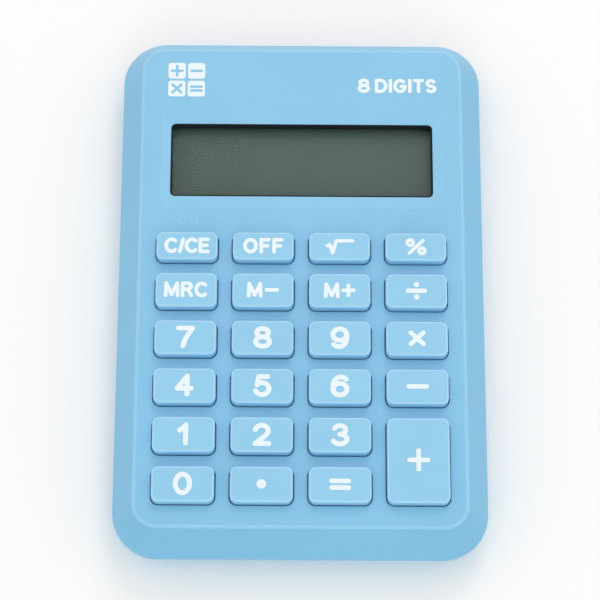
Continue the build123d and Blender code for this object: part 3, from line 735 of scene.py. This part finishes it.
# ------------------------------------------------------------------ rubber domes
def lathe(name, profile, place, material, turns=36):
    """Closed solid of revolution from a closed profile of (radius, height) in millimetres."""
    mesh = bpy.data.meshes.new(name)
    form = bmesh.new()
    rings = []
    for step in range(turns):
        angle = 2.0 * math.pi * step / turns
        rings.append([form.verts.new((radius * MM * math.cos(angle),
                                      radius * MM * math.sin(angle), height * MM))
                      for radius, height in profile])
    for ring, following in zip(rings, rings[1:] + rings[:1]):
        for i in range(len(profile)):
            j = (i + 1) % len(profile)
            form.faces.new((ring[i], following[i], following[j], ring[j]))
    bmesh.ops.remove_doubles(form, verts=form.verts, dist=1e-8)
    bmesh.ops.dissolve_degenerate(form, edges=form.edges, dist=1e-8)
    bmesh.ops.recalc_face_normals(form, faces=form.faces)
    bmesh.ops.translate(form, verts=form.verts, vec=place)
    form.to_mesh(mesh)
    form.free()
    mesh.materials.append(material)
    piece = bpy.data.objects.new(name, mesh)
    bpy.context.scene.collection.objects.link(piece)
    return piece


def key_centres():
    """Middle of each key in plan."""
    centres = {}
    for name in KEY_NAMES:
        low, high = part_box(name)
        centres[name] = ((low.x + high.x) / 2, (low.y + high.y) / 2)
    return centres


# All in millimetres.
WEB_THICKNESS = 0.6         # as in the sheet that the pieces stand for
WEB_CORNER = 2.0
WEB_GRID = 0.25
SKIRT_FOOT, SKIRT_TOP = 3.0, 2.2
SKIRT_WALL = 0.35
SKIRT_RISE = 0.95
FOOT_LEAN, FOOT_RISE = 0.12, 0.25
SHOULDER, SHOULDER_DROP = 0.30, 0.2
SKIRT_SLIP = 0.02           # between the skirt and the plunger inside it
INNER_LEAN, INNER_RISE = 0.1, 0.2
PLUNGER_BORE = 1.25
PLUNGER_LEAN = 0.2          # narrower at the pill than where the skirt meets it
PLUNGER_ROUND, BORE_ROUND = 0.3, 0.15
PILL_SPARE = 0.02           # left over a pad when its key is all the way down
PILL_RADIUS, PILL_THICKNESS = 1.7, 0.4


def rubber_web(material, sheet_low, sheet_high):
    """Flat sheet with a hole under each dome, rounded at its corners."""
    centres = key_centres().values()
    half_x = (sheet_high.x - sheet_low.x) / 2 / MM
    half_y = (sheet_high.y - sheet_low.y) / 2 / MM
    middle = (sheet_low + sheet_high) / 2
    holes = [((x - middle.x) / MM, (y - middle.y) / MM, SKIRT_FOOT - SKIRT_WALL)
             for x, y in centres]

    def field(xs, ys):
        grid_x, grid_y = np.meshgrid(xs, ys)
        over_x = np.abs(grid_x) - half_x + WEB_CORNER
        over_y = np.abs(grid_y) - half_y + WEB_CORNER
        edge = np.hypot(np.maximum(over_x, 0.0), np.maximum(over_y, 0.0))
        edge += np.minimum(np.maximum(over_x, over_y), 0.0) - WEB_CORNER
        return np.maximum(edge, -dot_field(xs, ys, holes))
    place = (middle.x, middle.y, sheet_low.z)
    return printed_piece("rubber_web", field, (half_x + 1.0, half_y + 1.0), place, material,
                         relief=WEB_THICKNESS * MM, sink=0.0, grid=WEB_GRID)


def build_domes(silicone, carbon):
    """Web, skirts, and the plungers and pills that go down with their keys."""
    sheet_low, sheet_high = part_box("dome_sheet")
    pill_low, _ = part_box("carbon_pills")
    web = rubber_web(silicone, sheet_low, sheet_high)
    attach(web, "root")
    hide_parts("dome_sheet", "carbon_pills")
    web_top = sheet_low.z + WEB_THICKNESS * MM
    top = (sheet_high.z - web_top) / MM
    ledge = (pill_low.z - web_top) / MM
    skirt = [(SKIRT_FOOT - SKIRT_WALL, 0.0), (SKIRT_FOOT, 0.0),
             (SKIRT_FOOT - FOOT_LEAN, FOOT_RISE),
             (SKIRT_TOP + SHOULDER, SKIRT_RISE - SHOULDER_DROP),
             (SKIRT_TOP + SKIRT_SLIP, SKIRT_RISE),
             (SKIRT_TOP + SKIRT_SLIP, SKIRT_RISE - SKIRT_WALL),
             (SKIRT_FOOT - SKIRT_WALL - INNER_LEAN, INNER_RISE)]
    plunger = ([(PLUNGER_BORE, ledge + PILL_THICKNESS),
                (SKIRT_TOP - PLUNGER_LEAN, ledge + PILL_THICKNESS),
                (SKIRT_TOP, SKIRT_RISE - SKIRT_WALL)]
               + arc(SKIRT_TOP - PLUNGER_ROUND, top - PLUNGER_ROUND, PLUNGER_ROUND,
                     PLUNGER_ROUND, 0, 90)
               + arc(PLUNGER_BORE + BORE_ROUND, top - BORE_ROUND, BORE_ROUND, BORE_ROUND,
                     90, 180))
    pad_side = ledge + PILL_SPARE
    disc = [(0.0, pad_side), (PILL_RADIUS, pad_side), (PILL_RADIUS, ledge + PILL_THICKNESS),
            (0.0, ledge + PILL_THICKNESS)]
    for name, (x, y) in key_centres().items():
        tail = name[len("key_"):]
        place = Vector((x, y, web_top))
        wall = lathe("dome_skirt_" + tail, skirt, place, silicone)
        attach(wall, "root")
        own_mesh(wall)
        body = lathe("dome_plunger_" + tail, plunger, place, silicone)
        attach(body, name)
        pill = lathe("carbon_pill_" + tail, disc, place, carbon)
        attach(pill, name)


# ------------------------------------------------------------------ build
make_camera()
make_studio()
finishes = paint_nodes()
build_domes(finishes["silicone"], finishes["carbon"])
white_ink = printed_ink("white_ink", linear(224, 237, 243))
print_keys(white_ink)
print_case(white_ink, printed_ink("faint_ink", linear(134, 192, 230)))
